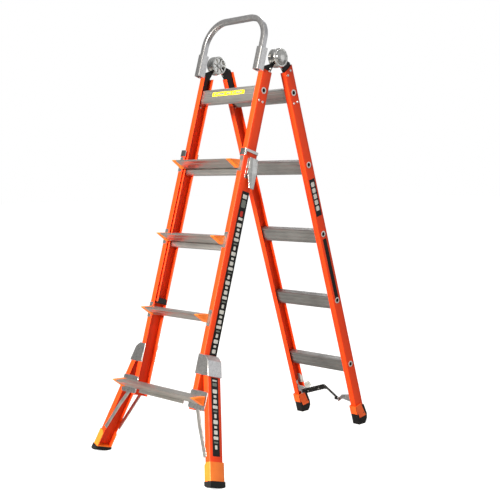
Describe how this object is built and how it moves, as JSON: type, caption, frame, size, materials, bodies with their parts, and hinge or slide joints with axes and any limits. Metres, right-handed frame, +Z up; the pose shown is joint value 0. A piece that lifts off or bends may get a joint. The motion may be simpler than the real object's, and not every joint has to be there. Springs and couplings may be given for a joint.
{
  "type": "multi position ladder",
  "caption": "Telescoping A-frame ladder with orange glass-fibre rails, flared legs, wedge treads, a hinged rung section, ratchet hinges and a U grab handle.",
  "frame": {"origin": "centre of the footprint on the floor, with the ladder open as an A", "axes": "+Z up, -Y towards a climber on the treads, +X to the climber's right as they face the ladder"},
  "size_m": [0.7312, 1.1152, 1.7653],
  "materials": {
    "glass_fibre_rail": "pultruded glass fibre, satin orange",
    "orange_plastic": "moulded orange plastic",
    "rubber": "moulded black rubber",
    "black_plastic": "moulded black plastic",
    "cast_aluminium": "die cast, tumbled",
    "extruded_aluminium": "mill finish extrusion",
    "handle_aluminium": "drawn tube, satin",
    "polished_steel": "plated, brushed",
    "black_steel": "black powder coat"
  },
  "bodies": {
    "base_section": {"outer_rail_left": "glass_fibre_rail", "outer_rail_right": "glass_fibre_rail", "step_1": "extruded_aluminium", "step_1_cap_left": "orange_plastic", "step_1_cap_right": "orange_plastic", "step_2": "extruded_aluminium", "step_2_cap_left": "orange_plastic", "step_2_cap_right": "orange_plastic", "step_3": "extruded_aluminium", "step_3_cap_left": "orange_plastic", "step_3_cap_right": "orange_plastic", "step_4": "extruded_aluminium", "step_4_cap_left": "orange_plastic", "step_4_cap_right": "orange_plastic", "step_gusset_left": "cast_aluminium", "step_gusset_right": "cast_aluminium", "flared_leg_left": "glass_fibre_rail", "flared_leg_right": "glass_fibre_rail", "leg_shoulder_left": "cast_aluminium", "leg_shoulder_right": "cast_aluminium", "leg_brace_front_left": "extruded_aluminium", "leg_brace_front_right": "extruded_aluminium", "leg_brace_rear_left": "extruded_aluminium", "leg_brace_rear_right": "extruded_aluminium", "foot_boot_left": "orange_plastic", "foot_boot_right": "orange_plastic", "foot_sole_left": "rubber", "foot_sole_right": "rubber", "lock_band_left": "cast_aluminium", "lock_band_right": "cast_aluminium"},
    "inner_section": {"inner_rail_left": "glass_fibre_rail", "inner_rail_right": "glass_fibre_rail", "inner_rung_1": "extruded_aluminium", "inner_rung_2": "extruded_aluminium", "inner_rung_3": "extruded_aluminium", "rail_end_plug_left": "black_plastic", "rail_end_plug_right": "black_plastic", "handle_socket_left": "cast_aluminium", "handle_socket_right": "cast_aluminium", "hinge_front_left": "polished_steel", "hinge_front_right": "polished_steel"},
    "rear_section": {"rear_rail_left": "glass_fibre_rail", "rear_rail_right": "glass_fibre_rail", "rear_rung_1": "extruded_aluminium", "rear_rung_2": "extruded_aluminium", "rear_rung_3": "extruded_aluminium", "rear_rung_4": "extruded_aluminium", "rear_rung_5": "extruded_aluminium", "rear_shoe_left": "rubber", "rear_shoe_right": "rubber", "hinge_rear_left": "black_steel", "hinge_rear_right": "black_steel", "v_bar_bracket_left": "cast_aluminium", "v_bar_bracket_right": "cast_aluminium"},
    "grab_handle": {"grab_handle": "handle_aluminium"},
    "v_bar": {"v_bar": "black_steel"},
    "lock_lever_left": {"lock_lever_left": "polished_steel"},
    "lock_lever_right": {"lock_lever_right": "polished_steel"},
    "hinge_button_left": {"hinge_button_left": "polished_steel"},
    "hinge_button_right": {"hinge_button_right": "polished_steel"}
  },
  "joints": [
    {"name": "telescope", "type": "slide", "parent": "base_section", "child": "inner_section", "axis": [0, 0.294, 0.9558], "range_m": [-0.3048, 0.3048]},
    {"name": "fold", "type": "hinge", "parent": "inner_section", "child": "rear_section", "pos_m": [0, 0.01468, 1.586], "axis": [1, 0, 0], "range_deg": [-33.7, 146.3]},
    {"name": "handle_lift", "type": "slide", "parent": "inner_section", "child": "grab_handle", "axis": [0, 0.294, 0.9558], "range_m": [0, 0.06]},
    {"name": "v_bar_swing", "type": "hinge", "parent": "rear_section", "child": "v_bar", "pos_m": [0, 0.45745, 0.11478], "axis": [1, 0, 0], "range_deg": [-45, 45]},
    {"name": "lock_left", "type": "hinge", "parent": "base_section", "child": "lock_lever_left", "pos_m": [-0.2004, -0.16275, 1.13169], "axis": [0, -0.9558, 0.294], "range_deg": [0, 9]},
    {"name": "lock_right", "type": "hinge", "parent": "base_section", "child": "lock_lever_right", "pos_m": [0.2004, -0.16275, 1.13169], "axis": [0, 0.9558, -0.294], "range_deg": [0, 9]},
    {"name": "button_left", "type": "slide", "parent": "inner_section", "child": "hinge_button_left", "axis": [1, 0, 0], "range_m": [0, 0.008], "stiffness_N_per_m": 1500},
    {"name": "button_right", "type": "slide", "parent": "inner_section", "child": "hinge_button_right", "axis": [-1, 0, 0], "range_m": [0, 0.008], "stiffness_N_per_m": 1500}
  ]
}
